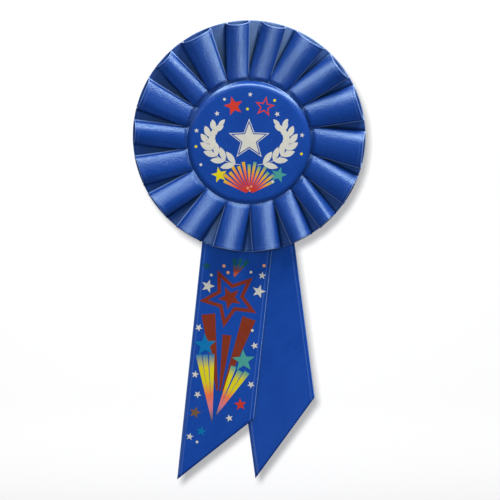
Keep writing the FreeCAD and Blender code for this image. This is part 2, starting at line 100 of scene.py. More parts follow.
class Shader:
    """A new material's node tree, with short ways to add and join nodes."""

    def __init__(self, name):
        self.material = bpy.data.materials.new(name)
        self.material.use_nodes = True
        self.tree = self.material.node_tree
        self.surface = self.tree.nodes["Principled BSDF"]

    def set(self, **values):
        """Set the shader's own sockets, with _ for each space in a socket's name."""
        for name, value in values.items():
            self.surface.inputs[name.replace("_", " ")].default_value = value

    def add(self, kind, inputs=None, **settings):
        """A new node. An input that is a socket is linked, and any other value is set."""
        node = self.tree.nodes.new(kind)
        for name, value in settings.items():
            setattr(node, name, value)
        for name, value in (inputs or {}).items():
            if isinstance(value, bpy.types.NodeSocket):
                self.tree.links.new(value, node.inputs[name])
            else:
                node.inputs[name].default_value = value
        return node

    def join(self, output, name):
        """Link an output to one of the shader's own sockets."""
        self.tree.links.new(output, self.surface.inputs[name])

    def scaled(self, source, scale):
        """Coordinates multiplied by a scale per axis."""
        return self.add("ShaderNodeMapping", {"Vector": source, "Scale": scale}).outputs[0]

    def place(self):
        """The object's own coordinates, in metres."""
        return self.add("ShaderNodeTexCoord").outputs["Object"]

    def mark(self, name):
        """The value of one of the mesh's named attributes."""
        return self.add("ShaderNodeAttribute", attribute_name=name).outputs["Fac"]

    def noise(self, source, scale, detail=3.0):
        """Soft noise, 0 to 1."""
        values = {"Vector": source, "Scale": scale, "Detail": detail}
        return self.add("ShaderNodeTexNoise", values).outputs["Fac"]

    def math(self, operation, first, second=0.0):
        """The result of a sum on two values or sockets."""
        return self.add("ShaderNodeMath", {0: first, 1: second}, operation=operation).outputs[0]

    def ramp(self, factor, low, high, start=0.0, end=1.0):
        """Map a factor from start..end to low..high."""
        values = {"Value": factor, "From Min": start, "From Max": end, "To Min": low, "To Max": high}
        return self.add("ShaderNodeMapRange", values).outputs[0]

    def mix(self, factor, first, second):
        """A colour between two colours. A colour mix uses inputs 0, 6 and 7 and output 2."""
        return self.add("ShaderNodeMix", {0: factor, 6: first, 7: second}, data_type="RGBA").outputs[2]

    def bump(self, height, strength, depth):
        """Bump whose full height is depth millimetres, chained after any bump already there."""
        values = {"Height": height, "Strength": strength, "Distance": depth * MM}
        before = self.surface.inputs["Normal"].links
        if before:
            values["Normal"] = before[0].from_socket
        self.join(self.add("ShaderNodeBump", values).outputs[0], "Normal")


SATIN = linear(21, 62, 143)
SATIN_DEEP = linear(17, 56, 135)
SATIN_SLUB = linear(27, 72, 156)
# Pale lavender: the edge yarns' paler tone together with a painted highlight on the edges and along the
# pressed folds.
SATIN_EDGE_TONE_AND_HIGHLIGHT = linear(120, 150, 208)
SATIN_SHADE = linear(22, 44, 74)  # painted shade between the folds, in crevices and under overhangs
SATIN_SHINE = (0.6, 0.85, 1.0, 1.0)  # tint of the highlights
SELVEDGE = 1.3  # from the ribbon's edge to the line that ends its woven selvedge
EDGE = 0.22  # outermost yarns, paler in tone and with a painted highlight where the edge catches the light


def selvedge_and_painted_highlights(shader, inside, colour):
    """Paler edge yarns with a painted highlight, a paler line where the selvedge ends and a painted
    highlight along the pressed folds, over a colour.
    Inside is the distance from the ribbon's nearer edge, in millimetres."""
    line = shader.math("ABSOLUTE", shader.math("SUBTRACT", inside, SELVEDGE))
    colour = shader.mix(shader.ramp(line, 0.16, 0.0, 0.05, 0.25), colour, SATIN_EDGE_TONE_AND_HIGHLIGHT)
    # The outermost yarns: paler tone and a painted highlight.
    colour = shader.mix(shader.ramp(inside, 0.85, 0.0, EDGE * 0.6, EDGE), colour, SATIN_EDGE_TONE_AND_HIGHLIGHT)
    shader.bump(shader.math("GREATER_THAN", inside, SELVEDGE), 0.4, 0.03)
    # A painted highlight along the pressed folds that the crease mark picks out.
    return shader.mix(shader.ramp(shader.mark("crease"), 0.0, 0.75), colour, SATIN_EDGE_TONE_AND_HIGHLIGHT)


def satin(name, width, length, edged=True, gloss=1.0, grained=0.0, room=4.0, clear=0.5):
    """Blue satin. The UV map runs across the ribbon in U and along its yarns in V.
    It has painted shade where less than the clear share of the room millimetres round it is open, and on
    the layers marked as hidden between the folds."""
    shader = Shader(name)
    uv = shader.add("ShaderNodeUVMap", uv_map="ribbon").outputs[0]
    flat = shader.scaled(uv, (width, length, 1))
    streaks = shader.noise(shader.scaled(flat, (3.2, 0.6, 1)), 1.0, 2.0)
    floats = shader.noise(shader.scaled(flat, (7.0, 2.4, 1)), 1.0, 1.0)
    twill = shader.add(
        "ShaderNodeTexWave",
        {"Vector": flat, "Scale": 0.5, "Distortion": 2.4, "Detail": 3.0, "Detail Scale": 1.5},
        bands_direction="DIAGONAL",
    ).outputs["Fac"]
    clouds = shader.noise(flat, 0.12, 2.0)
    grain = shader.noise(shader.scaled(flat, (2.1, 2.5, 1)), 1.0, 2.0)
    colour = shader.mix(shader.ramp(clouds, 0.0, 1.0, 0.3, 0.7), SATIN_DEEP, SATIN)
    colour = shader.mix(shader.ramp(streaks, 0.0, 0.5, 0.35, 0.75), colour, SATIN_SLUB)
    # Painted shade: ambient occlusion darkens the colour towards SATIN_SHADE where little is open round
    # the satin.
    depth = shader.add("ShaderNodeAmbientOcclusion", {"Distance": room * MM}, samples=8)
    shade = shader.ramp(depth.outputs["AO"], 0.75, 0.0, 0.1, clear)
    if edged:
        across = shader.add("ShaderNodeSeparateXYZ", {0: flat}).outputs[0]
        centred = shader.math("ABSOLUTE", shader.math("SUBTRACT", across, width / 2))
        colour = selvedge_and_painted_highlights(shader, shader.math("SUBTRACT", width / 2, centred), colour)
        # Painted shade on the layers between the folds, strongest over the ribbon's inner half.
        inwards = shader.ramp(across, 0.97, 0.35, width * 0.5, width)
        hidden = shader.math("MULTIPLY", shader.mark("hidden"), inwards)
        shade = shader.math("MAXIMUM", shade, hidden)
    shader.join(shader.mix(shade, colour, SATIN_SHADE), "Base Color")
    smooth = shader.ramp(streaks, 0.5, 0.6, 0.3, 0.7)
    shader.join(shader.math("ADD", smooth, shader.math("MULTIPLY", shade, 0.5)), "Roughness")
    shader.bump(streaks, 0.5, 0.05)
    shader.bump(floats, 0.5, 0.04)
    shader.bump(grain, grained, 0.22)
    shader.bump(twill, 0.25, 0.04)
    tangent = shader.add("ShaderNodeTangent", direction_type="UV_MAP", uv_map="ribbon")
    shader.join(tangent.outputs[0], "Tangent")
    shader.set(Anisotropic=1.0, IOR=2.0, Specular_IOR_Level=gloss, Specular_Tint=SATIN_SHINE)
    return shader.material


def foil(name):
    """Hot-stamped foil. Its colour is on the mesh, in the attribute ink."""
    shader = Shader(name)
    ink = shader.add("ShaderNodeAttribute", attribute_name="ink").outputs["Color"]
    place = shader.place()
    grain = shader.noise(place, 900.0, 3.0)
    patches = shader.noise(place, 220.0, 2.0)
    worn = shader.mix(shader.ramp(grain, 0.0, 0.35, 0.62, 0.78), ink, SATIN)
    shader.join(worn, "Base Color")
    shader.join(shader.ramp(patches, 0.28, 0.5, 0.3, 0.7), "Roughness")
    shader.bump(grain, 0.4, 0.03)
    shader.set(Metallic=0.35, Specular_IOR_Level=0.6)
    return shader.material


def board(name):
    """Uncoated white paperboard with short fibres."""
    shader = Shader(name)
    place = shader.place()
    fibres = shader.noise(shader.scaled(place, (2600, 900, 1300)), 1.0, 4.0)
    flecks = shader.noise(place, 1500.0, 2.0)
    colour = shader.mix(
        shader.ramp(fibres, 0.0, 1.0, 0.3, 0.7), linear(221, 218, 208), linear(236, 234, 227)
    )
    colour = shader.mix(shader.ramp(flecks, 0.0, 0.5, 0.66, 0.74), colour, linear(176, 166, 148))
    shader.join(colour, "Base Color")
    shader.bump(fibres, 0.5, 0.06)
    shader.set(Roughness=0.88, Specular_IOR_Level=0.3)
    return shader.material


def metal(name, colour, dull, rough, stretch, spots=0.0):
    """Plated or bare metal with drawn marks that the stretch draws out, and dull spots."""
    shader = Shader(name)
    place = shader.place()
    marks = shader.noise(shader.scaled(place, stretch), 1.0, 4.0)
    patches = shader.noise(place, 420.0, 3.0)
    mixed = shader.mix(shader.ramp(patches, 0.0, 1.0, 0.35, 0.75), colour, dull)
    if spots:
        grains = shader.add("ShaderNodeTexVoronoi", {"Vector": place, "Scale": 1400.0}).outputs["Color"]
        mixed = shader.mix(spots, mixed, shader.mix(grains, dull, colour))
    shader.join(mixed, "Base Color")
    shader.join(shader.ramp(marks, rough * 0.75, rough * 1.4, 0.3, 0.7), "Roughness")
    shader.bump(marks, 0.25, 0.01)
    shader.set(Metallic=1.0)
    return shader.material


def thread(name):
    """Two-ply twisted polyester thread."""
    shader = Shader(name)
    place = shader.place()
    twist = shader.add(
        "ShaderNodeTexWave",
        {"Vector": place, "Scale": 900.0, "Distortion": 0.6},
        bands_direction="DIAGONAL",
    ).outputs["Fac"]
    fuzz = shader.noise(place, 5000.0, 2.0)
    colour = shader.mix(twist, linear(22, 46, 112), linear(52, 86, 170))
    shader.join(colour, "Base Color")
    shader.bump(twist, 0.8, 0.08)
    shader.bump(fuzz, 0.4, 0.03)
    shader.set(Roughness=0.6, Sheen_Weight=0.3)
    return shader.material


def foam(name):
    """Closed-cell foam: fine pores and slightly yellowed cells."""
    shader = Shader(name)
    place = shader.place()
    cells = shader.add("ShaderNodeTexVoronoi", {"Vector": place, "Scale": 3200.0}).outputs["Distance"]
    tint = shader.noise(place, 300.0, 2.0)
    colour = shader.mix(
        shader.ramp(tint, 0.0, 1.0, 0.35, 0.7), linear(238, 238, 233), linear(226, 222, 208)
    )
    shader.join(colour, "Base Color")
    shader.bump(cells, 0.8, 0.08)
    shader.set(Roughness=0.8, Subsurface_Weight=0.1)
    return shader.material


# ---------------------------------------------------------------- sheets of ribbon


def link_mesh(name, mesh, material, smooth=True):
    """A piece in the scene that shows a mesh in one material."""
    piece = bpy.data.objects.new(name, mesh)
    bpy.context.scene.collection.objects.link(piece)
    piece.data.materials.append(material)
    for face in mesh.polygons:
        face.use_smooth = smooth
    return piece


def length_shares(row, closed):
    """How far along a row each of its points lies, as shares of the row's length."""
    after = row[1:] + row[:1] if closed else row[1:]
    reached = [0.0]
    for here, there in zip(row, after):
        reached.append(reached[-1] + (there - here).length)
    return [distance / reached[-1] for distance in reached]


def row_faces(row, count, closed=False):
    """The faces between a row of points and the next, where each row has the same count."""
    last = count if closed else count - 1
    low, high = row * count, (row + 1) * count
    pairs = [(j, (j + 1) % count) for j in range(last)]
    return [(low + j, low + after, high + after, high + j) for j, after in pairs]


def grid_sheet(name, rows, material, closed=False, marks=None):
    """A sheet through rows of points. U runs over the rows and V along each row.
    marks holds named attributes, each with one value for each point of a row."""
    count = len(rows[0])
    points = [point * MM for row in rows for point in row]
    shares = length_shares(rows[-1], closed)
    faces, maps = [], []
    for i in range(len(rows) - 1):
        faces += row_faces(i, count, closed)
        low, high = i / (len(rows) - 1), (i + 1) / (len(rows) - 1)
        for left, right in zip(shares, shares[1:]):
            maps += [(low, left), (low, right), (high, right), (high, left)]
    mesh = bpy.data.meshes.new(name)
    mesh.from_pydata(points, [], faces)
    layer = mesh.uv_layers.new(name="ribbon")
    for loop, pair in zip(layer.data, maps):
        loop.uv = pair
    for title, values in (marks or {}).items():
        mark = mesh.attributes.new(title, "FLOAT", "POINT")
        mark.data.foreach_set("value", values * len(rows))
    mesh.update()
    return link_mesh(name, mesh, material)


def thicken(piece, thickness, offset=0.0):
    """Give a sheet its thickness in millimetres, half to each side unless offset is -1."""
    modifier = piece.modifiers.new("thickness", "SOLIDIFY")
    modifier.thickness = thickness * MM
    modifier.offset = offset
    modifier.use_even_offset = False


def smooth_step(low, high, value):
    """0 at low and before it, 1 at high and beyond it, and a smooth rise between."""
    t = min(max((value - low) / (high - low), 0.0), 1.0)
    return t * t * (3 - 2 * t)


def blend_values(low, high, share):
    """The value that lies a share of the way from low to high."""
    return low + (high - low) * share


# ---------------------------------------------------------------- pleats

BUTTON_RADIUS = extent("button_cover", 0)[1]
BUTTON_DROP = sum(extent("button_cover", 2)) / 2  # from the rosette's centre up to the button's, so < 0
BUTTON_FRONT = -extent("button_cover", 1)[0]
BUTTON_REAR = -extent("button_cover", 1)[1]

PLEATS = 18
PLEAT_SEED = 18
FIRST_CREASE = -0.8  # degrees clockwise from the top, before any bunching
BUNCH_SHIFT, BUNCH_ANGLE, BUNCH_WIDTH = 6.4, 110, 28  # degrees: the creases there lie further on
PLEAT_ROWS = 48
PLEAT_LENGTH = 757.0  # of the strip, measured along the folds at the rim
RIBBON_THICKNESS = 0.22
RING_INNER = 17.0
RING_OUTER = extent("pleated_ribbon", 0)[1]
PLEAT_REAR = -extent("pleated_ribbon", 1)[1]  # forward of the origin, where the ribbon lies
FLOOR = 0.2  # lowest layer above the ring card
RETURN = 0.66  # layer that runs back under a raised fold
PRESSED = 2.15  # height of the folds under the button
PRESS_MARGIN = 0.2  # the button presses the folds down to this far outside its edge
SPRING_WIDTH = 1.4  # across which they spring back up
CROWN_RADIUS = 43.0  # the folds would be at their full height here, just past the rim
QUICK_RISE = 0.3  # share of that height that they gain right beside the button
BOTTOM_STAND = 1.0  # extra height of the pleats right at the bottom
GAP_MARGIN = 1.6  # the wedge-shaped gaps open this far outside the button
GAP_SPREAD = 0.25  # how much a gap widens per millimetre outwards
FOLD_ROUND = 0.22  # radius of the pressed fold along a pleat's outer side
TUCK_SHORT = 0.7  # a hidden fold stops this far short of its own raised fold's foot
RIM_START = 34.0  # from here outwards each pleat's height differs at the rim
FORESHORTENED = 0.27  # how much less far out a raised point reaches, for each millimetre of height
FLOOR_STEPS, ROLL_STEPS, RISE_STEPS, SLOPE_STEPS, FALL_STEPS = 8, 10, 8, 10, 8
FOLD_STEPS, BACK_STEPS = 4, 8


def crease_angle(index):
    """Degrees clockwise from the top. The pleats bunch up near the lower right."""
    even = 360.0 / PLEATS * index
    return even + FIRST_CREASE + BUNCH_SHIFT * math.exp(-(((even - BUNCH_ANGLE) / BUNCH_WIDTH) ** 2))


def button_reach(angle):
    """How far from the rosette's centre the button's edge lies, at radians from the top."""
    return BUTTON_RADIUS + BUTTON_DROP * math.cos(angle)


def pleat_traits(rng):
    """What makes one pleat differ from the next."""
    return {
        "lean": rng.uniform(-1.6, 1.6),
        "height": rng.uniform(5.9, 6.7),
        "crest": rng.uniform(0.42, 0.56),
        "roll": rng.uniform(0.1, 0.9),
        "shoulder": rng.uniform(0.76, 0.84),
        "dip": rng.uniform(-0.3, 0.3),
        "gap": rng.uniform(0.8, 1.3),
        "rim": rng.uniform(-0.7, 0.4),
        "wave": rng.uniform(0, 2 * math.pi),
        "puff": rng.uniform(-0.2, 0.5),
    }


def bezier(points, count):
    """Points along a cubic curve, without its last point."""
    found = []
    for i in range(count):
        t = i / count
        weights = ((1 - t) ** 3, 3 * t * (1 - t) ** 2, 3 * t * t * (1 - t), t ** 3)
        found.append(tuple(sum(w * p[axis] for w, p in zip(weights, points)) for axis in (0, 1)))
    return found


def half_turn(across, low, high, direction, count):
    """Points round a fold from one layer's height to another's, without the last."""
    middle, radius = (low + high) / 2, (high - low) / 2
    reach = direction * abs(radius)
    turns = [math.pi * i / count for i in range(count)]
    return [(across + reach * math.sin(turn), middle - radius * math.cos(turn)) for turn in turns]


def rise_share(radius, edge, puff):
    """How much of its full height a fold has at a radius; edge is the button's there."""
    start = edge + PRESS_MARGIN
    quick = smooth_step(start, start + SPRING_WIDTH + puff, radius)
    slow = min(1.0, max(0.0, (radius - start) / (CROWN_RADIUS - start)))
    return QUICK_RISE * quick + (1 - QUICK_RISE) * slow


def pleat_section(radius, edge, pitch, traits):
    """One pleat's cross-section at a radius: (clockwise distance, height) from crease to crease.
    Where the button's edge lies further out, at the bottom, the pleats stand higher."""
    risen = rise_share(radius, edge, traits["puff"])
    stand = BOTTOM_STAND * max(0.0, edge - BUTTON_RADIUS) / -BUTTON_DROP
    rim = smooth_step(RIM_START, RING_OUTER, radius)
    height = blend_values(PRESSED, traits["height"] + traits["rim"] * rim + stand, risen)
    gap = max(0.0, radius - edge - GAP_MARGIN) * GAP_SPREAD * traits["gap"]
    width = pitch - gap
    under = width - TUCK_SHORT
    sway = risen * math.sin(traits["wave"] + radius / 4.2)
    crest = gap + width * (traits["crest"] + 0.012 * sway)
    shoulder = gap + width * traits["shoulder"]
    bulge = traits["roll"] * risen
    crease = blend_values(1.1, 0.48 * height, risen)
    dip = traits["dip"] * risen
    floor = [(-under + (gap + under) * i / FLOOR_STEPS, FLOOR) for i in range(FLOOR_STEPS)]
    lip = gap + 0.06 * width
    late = pitch - 0.07 * width
    roll = bezier(
        [(gap, FLOOR), (gap - bulge, FLOOR), (gap - 0.8 * bulge, 0.42 * height), (lip, 0.64 * height)],
        ROLL_STEPS,
    )
    rise = bezier(
        [
            (lip, 0.64 * height),
            (lip + 0.08 * width, 0.84 * height),
            (crest - 0.2 * width, height),
            (crest, height - 0.3 * dip),
        ],
        RISE_STEPS,
    )
    slope = bezier(
        [
            (crest, height - 0.3 * dip),
            (crest + 0.16 * width, height - 0.6 * dip),
            (shoulder, 0.92 * height - dip),
            (late, 0.74 * height - 0.5 * dip),
        ],
        SLOPE_STEPS,
    )
    fall = bezier(
        [
            (late, 0.74 * height - 0.5 * dip),
            (late + 0.03 * width, 0.66 * height - 0.35 * dip),
            (pitch - 0.02 * width, 0.58 * height),
            (pitch, crease + FOLD_ROUND),
        ],
        FALL_STEPS,
    )
    crisp = half_turn(pitch, crease + FOLD_ROUND, crease - FOLD_ROUND, 1, FOLD_STEPS)
    back = bezier(
        [
            (pitch, crease - FOLD_ROUND),
            (pitch - 0.09 * width, RETURN),
            (pitch - 0.12 * width, RETURN),
            (pitch - under, RETURN),
        ],
        BACK_STEPS,
    )
    tuck = half_turn(pitch - under, RETURN, FLOOR, -1, FOLD_STEPS)
    return floor + roll + rise + slope + fall + crisp + back + tuck


def pleat_marks():
    """Marks for a painted highlight along the pressed folds and painted shade on the layers hidden
    between the folds, along all the pleats.
    """
    open_steps = RISE_STEPS + SLOPE_STEPS + FALL_STEPS
    before = FLOOR_STEPS + ROLL_STEPS + open_steps
    crease = [0.0] * (before - 1) + [0.5] + [1.0] * FOLD_STEPS + [0.0] * (BACK_STEPS + FOLD_STEPS)
    hidden = [1.0] * FLOOR_STEPS + [max(0.0, 1.0 - i / 6) for i in range(ROLL_STEPS)]
    hidden += [0.0] * (open_steps + FOLD_STEPS)
    hidden += [min(1.0, i / 2) for i in range(BACK_STEPS)] + [1.0] * FOLD_STEPS
    return {"crease": crease * PLEATS, "hidden": hidden * PLEATS}


def ribbon_radius(radius, height, risen):
    """How far out a point lies: a raised stretch of the same ribbon reaches less far."""
    return radius - FORESHORTENED * max(0.0, height - PRESSED) * risen


def pleat_row(radius, traits):
    """The points of all the pleats at a radius, clockwise from the top. A crease that leans is
    in place at the button's edge and further round at the rim."""
    leaning = (radius - BUTTON_RADIUS) / (RING_OUTER - BUTTON_RADIUS)
    row = []
    for index, trait in enumerate(traits):
        start = crease_angle(index) + traits[index - 1]["lean"] * leaning
        last = index == PLEATS - 1
        end = (crease_angle(0) + 360 if last else crease_angle(index + 1)) + trait["lean"] * leaning
        pitch = math.radians(end - start) * radius
        edge = button_reach(math.radians(start + end) / 2)
        for across, height in pleat_section(radius, edge, pitch, trait):
            angle = math.radians(start) + across / radius
            reach = ribbon_radius(radius, height, rise_share(radius, edge, 0))
            row.append(Vector((reach * math.sin(angle), -(PLEAT_REAR + height), reach * math.cos(angle))))
    return row


def make_pleats(material):
    """One ribbon folded all round the ring, from its inner edge to its rim."""
    rng = random.Random(PLEAT_SEED)
    traits = [pleat_traits(rng) for _ in range(PLEATS)]
    width = RING_OUTER - RING_INNER
    rows = [pleat_row(RING_INNER + width * i / PLEAT_ROWS, traits) for i in range(PLEAT_ROWS + 1)]
    piece = grid_sheet("pleated_satin", rows, material, closed=True, marks=pleat_marks())
    thicken(piece, RIBBON_THICKNESS)
    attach(piece, "root")
    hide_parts("pleated_ribbon")
    return piece


# ---------------------------------------------------------------- tails

TAIL_TOP = 15.0  # both tails run up this far behind the pleats
TAIL_WIDTH = 25.0
TAIL_BEND = 43.0  # below the centre, where the tails swing
TAIL_THICKNESS = 0.24
TAIL_COLUMNS, TAIL_STEPS = 16, 96
DRIFT, DRIFT_BELOW = 0.9, 80  # a tail stands this far from flat, this far below its bend
RIPPLE, RIPPLE_LENGTH = 0.22, 13  # depth of its faint waves, and their length over 2 pi
CUP, CUP_BELOW = 0.25, 30  # its edges curl by a quarter of this, fully this far below the bend
# Degrees that each tail leans and is cut at; towards is -1 where it drifts forwards.
TAILS = {
    "front": {"tilt": 6.1, "shift": -0.1, "length": 126.0, "cut": 45.0, "towards": -1.0},
    "rear": {"tilt": -7.5, "shift": -1.5, "length": 123.5, "cut": 47.0, "towards": 1.0},
}


def tail_place(side, across, along, forward=0.0):
    """A point of a tail from its own frame: across to the right, along upwards."""
    facts = TAILS[side]
    low, high = extent(f"{side}_tail", 1)
    tilt = math.radians(facts["tilt"])
    free = max(0.0, -along - TAIL_BEND)
    ripple = RIPPLE * (1 - math.cos(free / RIPPLE_LENGTH))
    drift = facts["towards"] * (DRIFT * (free / DRIFT_BELOW) ** 1.5 + ripple)
    cup = facts["towards"] * CUP * (across / TAIL_WIDTH) ** 2 * smooth_step(0, CUP_BELOW, free)
    return Vector(
        (
            across * math.cos(tilt) + along * math.sin(tilt) + facts["shift"],
            (low + high) / 2 + drift + cup - forward,
            -across * math.sin(tilt) + along * math.cos(tilt),
        )
    )


def tail_end(side, across):
    """How far down a tail reaches at that distance across it."""
    facts = TAILS[side]
    return -facts["length"] + (across + TAIL_WIDTH / 2) * math.tan(math.radians(facts["cut"]))


def make_tail(side):
    """A slant-cut tail of satin, from behind the pleats to its point."""
    rows = []
    for column in range(TAIL_COLUMNS + 1):
        across = TAIL_WIDTH * (column / TAIL_COLUMNS - 0.5)
        drop = tail_end(side, across) - TAIL_TOP
        steps = [TAIL_TOP + drop * i / TAIL_STEPS for i in range(TAIL_STEPS + 1)]
        rows.append([tail_place(side, across, along) for along in steps])
    name = f"{side}_tail_satin"
    # Painted shade on the tails' tops, under the pleats that stand over them.
    material = satin(name, TAIL_WIDTH, tail_length(side), gloss=0.25, room=16.0, clear=0.85)
    piece = grid_sheet(name, rows, material)
    thicken(piece, TAIL_THICKNESS)
    join_tail(piece)
    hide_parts(f"{side}_tail_top", f"{side}_tail")
    return piece


def join_tail(piece):
    """Bake a piece's placement into its mesh."""
    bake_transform(piece)


def tail_length(side):
    """Flat length of a tail along its longer side, in millimetres."""
    return TAIL_TOP + TAILS[side]["length"]


# ---------------------------------------------------------------- button cover

RIM_ROUND = 2.3
BUTTON_CROWN = 0.35
COVER_THICKNESS = 0.2
COVER_SPOKES = 120
COVER_SEED = 7
GATHER = 0.09  # how far a gather stands out or in
GATHERS_END, GATHERS_FULL = 8.6, 5.2  # forward of the origin, where the gathers fade in
WALL_TAPER = 0.1
FACE_STEPS, ROUND_STEPS, WALL_STEPS = 14, 10, 6


def face_forward(radius):
    """How far forward the slightly crowned face lies at a radius."""
    flat = BUTTON_RADIUS - RIM_ROUND
    return BUTTON_FRONT + BUTTON_CROWN * (1 - (radius / flat) ** 2)


def button_profile():
    """(radius, forward) pairs from the middle of the face to the rear edge."""
    flat = BUTTON_RADIUS - RIM_ROUND
    points = []
    for i in range(FACE_STEPS + 1):
        radius = flat * i / FACE_STEPS
        points.append((radius, face_forward(radius)))
    middle = BUTTON_FRONT - RIM_ROUND
    for i in range(1, ROUND_STEPS + 1):
        turn = math.pi / 2 * i / ROUND_STEPS
        points.append((flat + RIM_ROUND * math.sin(turn), middle + RIM_ROUND * math.cos(turn)))
    for i in range(1, WALL_STEPS + 1):
        share = i / WALL_STEPS
        points.append((BUTTON_RADIUS - WALL_TAPER * share, blend_values(middle, BUTTON_REAR, share)))
    return points


def make_button_cover(material):
    """Satin drawn over the button, with small gathers where it turns to the rear."""
    rng = random.Random(COVER_SEED)
    gathers = [rng.uniform(-1, 1) for _ in range(COVER_SPOKES)]
    mesh = bpy.data.meshes.new("button_satin")
    build = bmesh.new()
    layer = build.loops.layers.uv.new("ribbon")
    rings = []
    profile = button_profile()
    for radius, forward in profile[1:]:
        puckered = GATHER * smooth_step(GATHERS_END, GATHERS_FULL, forward)
        ring = []
        for spoke, gather in enumerate(gathers):
            angle = 2 * math.pi * spoke / COVER_SPOKES
            reach = radius + puckered * gather
            place = Vector((reach * math.sin(angle), -forward, reach * math.cos(angle) + BUTTON_DROP))
            ring.append(build.verts.new(place * MM))
        rings.append(ring)
    centre = build.verts.new(Vector((0, -profile[0][1], BUTTON_DROP)) * MM)
    for spoke in range(COVER_SPOKES):
        after = (spoke + 1) % COVER_SPOKES
        build.faces.new((centre, rings[0][spoke], rings[0][after]))
        for inner, outer in zip(rings, rings[1:]):
            build.faces.new((inner[spoke], outer[spoke], outer[after], inner[after]))
    size = 2 * BUTTON_RADIUS * MM
    for face in build.faces:
        for loop in face.loops:
            place = loop.vert.co
            loop[layer].uv = (0.5 + place.x / size, 0.5 + place.z / size)
    bmesh.ops.recalc_face_normals(build, faces=build.faces)
    build.to_mesh(mesh)
    build.free()
    piece = link_mesh("button_satin", mesh, material)
    thicken(piece, COVER_THICKNESS, offset=-1.0)
    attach(piece, "root")
    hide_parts("button_cover")
    return piece


def button_face(across, up, lift):
    """A point just in front of the button's face; across and up are from its middle."""
    forward = face_forward(math.hypot(across, up)) + FOIL_THICKNESS + lift
    return Vector((across, -forward, up + BUTTON_DROP))


# ---------------------------------------------------------------- foil prints

# Foil inks. Where a ray or trail runs through several of them, the blend is the printed colour and also a
# painted reflection: the rainbow that holographic foil reflects.
SILVER = linear(214, 214, 204)
YELLOW = linear(226, 212, 30)
GOLD = linear(224, 184, 40)
ORANGE = linear(243, 122, 80)
PINK = linear(220, 128, 145)
TEAL = linear(74, 160, 150)
BLUE = linear(12, 118, 178)
RED = linear(206, 60, 44)
COPPER = linear(132, 52, 32)
PEACH = linear(238, 168, 130)
BRONZE = linear(120, 92, 70)
SLATE = linear(112, 128, 140)
DEEP_TEAL = linear(24, 92, 100)
FOIL_THICKNESS = 0.03
LAYER_LIFT = 0.04  # from one layer of overlapping shapes to the next
STAR_INNER = 0.42  # a star's inner corners, as a share of its radius


class Print:
    """Foil shapes, each a list of 2D corners with colours, laid on a surface in layers."""

    def __init__(self, surface):
        self.surface = surface
        self.layer = 0
        self.points, self.inks, self.faces = [], [], []

    def point(self, across, up, ink):
        """Add a corner on the surface and return its index."""
        self.points.append(self.surface(across, up, self.layer * LAYER_LIFT) * MM)
        self.inks.append(ink)
        return len(self.points) - 1

    def fan(self, centre, corners, ink):
        """A filled outline that its centre can see all of."""
        middle = self.point(centre[0], centre[1], ink)
        ring = [self.point(across, up, ink) for across, up in corners]
        for i, corner in enumerate(ring):
            self.faces.append((middle, corner, ring[(i + 1) % len(ring)]))

    def band(self, left, right, inks, closed=False):
        """A strip between two rows of points, with one colour for each pair."""
        first = [self.point(x, z, ink) for (x, z), ink in zip(left, inks)]
        second = [self.point(x, z, ink) for (x, z), ink in zip(right, inks)]
        last = len(first) if closed else len(first) - 1
        for i in range(last):
            after = (i + 1) % len(first)
            self.faces.append((first[i], second[i], second[after], first[after]))

    def dot(self, centre, radius, ink):
        """A round dot."""
        self.fan(centre, round_outline(centre, radius), ink)

    def star(self, centre, radius, ink, tilt=0.0, inner=STAR_INNER):
        """A filled star."""
        self.fan(centre, star_outline(centre, radius, tilt, inner), ink)

    def outlined_star(self, centre, radius, width, ink, tilt=0.0, inner=STAR_INNER):
        """A star's outline, as wide at its points as width."""
        outer = star_outline(centre, radius, tilt, inner)
        hole = star_outline(centre, radius - width, tilt, inner)
        self.band(outer, hole, [ink] * len(outer), closed=True)

    def ray(self, start, end, start_width, end_width, inks, steps=14):
        """A straight tapering ray whose colour runs through several inks: printed colour with a painted
        reflection of holographic foil's rainbow.
        """
        start, end = Vector(start), Vector(end)
        run = end - start
        side = Vector((-run.y, run.x)).normalized()
        left, right, colours = [], [], []
        for i in range(steps + 1):
            share = i / steps
            middle = start + run * share
            half = blend_values(start_width, end_width, share) / 2
            left.append(tuple(middle + side * half))
            right.append(tuple(middle - side * half))
            colours.append(ink_between(inks, share))
        self.band(left, right, colours)

    def make(self, name, material):
        """The piece of foil with all the shapes, which all face forwards."""
        mesh = bpy.data.meshes.new(name)
        mesh.from_pydata(self.points, [], self.faces)
        layer = mesh.attributes.new("ink", "FLOAT_COLOR", "POINT")
        for item, ink in zip(layer.data, self.inks):
            item.color = ink
        build = bmesh.new()
        build.from_mesh(mesh)
        for face in build.faces:
            if face.normal.y > 0:
                face.normal_flip()
        build.to_mesh(mesh)
        build.free()
        piece = link_mesh(name, mesh, material, smooth=False)
        thicken(piece, FOIL_THICKNESS, offset=-1.0)
        return piece


def round_outline(centre, radius, count=14):
    """Corners round a circle."""
    angles = [2 * math.pi * i / count for i in range(count)]
    return [(centre[0] + radius * math.sin(a), centre[1] + radius * math.cos(a)) for a in angles]


def star_outline(centre, radius, tilt=0.0, inner=STAR_INNER, points=5):
    """Corners of a star, its first point up, turned clockwise by tilt degrees."""
    corners = []
    for i in range(2 * points):
        reach = radius if i % 2 == 0 else radius * inner
        angle = math.radians(tilt) + math.pi * i / points
        corners.append((centre[0] + reach * math.sin(angle), centre[1] + reach * math.cos(angle)))
    return corners


def ink_between(inks, share):
    """A colour from a row of colours, share 0 to 1 along it."""
    place = share * (len(inks) - 1)
    low = min(int(place), len(inks) - 2)
    part = place - low
    return tuple(blend_values(a, b, part) for a, b in zip(inks[low], inks[low + 1]))


